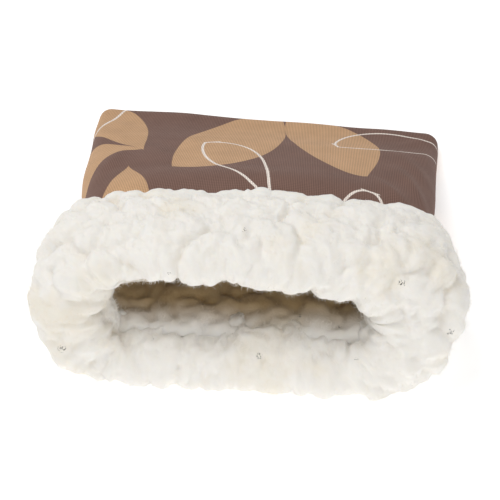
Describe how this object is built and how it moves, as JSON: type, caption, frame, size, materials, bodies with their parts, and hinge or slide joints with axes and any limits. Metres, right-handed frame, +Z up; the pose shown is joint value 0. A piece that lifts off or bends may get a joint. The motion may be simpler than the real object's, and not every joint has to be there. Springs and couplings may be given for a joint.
{
  "type": "hand warmer muff",
  "caption": "Flat cloth pouch lined with deep sherpa pile, open at one end, where the lining turns back as a wide fluffy cuff; it warms both hands at once.",
  "frame": {"origin": "on the table, under the middle of the muff's bounding box", "axes": "+Z up from the table, -Y out of the mouth, +Y to the closed end, X across the muff"},
  "size_m": [0.284, 0.2812, 0.102],
  "materials": {
    "printed_knit": "fine ribbed knit with a leaf print",
    "sherpa_pile": "long clumped pile",
    "knit_reverse": "plain back of the knit",
    "sewing_thread": "spun thread"
  },
  "bodies": {
    "lower_half": {"shell_lower_panel": "printed_knit", "lining_lower_panel": "sherpa_pile", "cuff_lower_band": "sherpa_pile", "cuff_backing_lower": "knit_reverse", "cuff_lower_hem_seam": "sewing_thread", "shell_side_seam_left": "sewing_thread", "shell_side_seam_right": "sewing_thread", "lining_side_seam_left": "sewing_thread", "lining_side_seam_right": "sewing_thread", "shell_end_seam": "sewing_thread", "lining_end_seam": "sewing_thread"},
    "upper_half": {"shell_upper_panel": "printed_knit", "lining_upper_panel": "sherpa_pile", "cuff_upper_band": "sherpa_pile", "cuff_backing_upper": "knit_reverse", "cuff_upper_hem_seam": "sewing_thread"}
  },
  "joints": [
    {"name": "mouth_open", "type": "hinge", "parent": "lower_half", "child": "upper_half", "pos_m": [0, 0.1396, 0.007], "axis": [-1, 0, 0], "range_deg": [0, 10]}
  ]
}
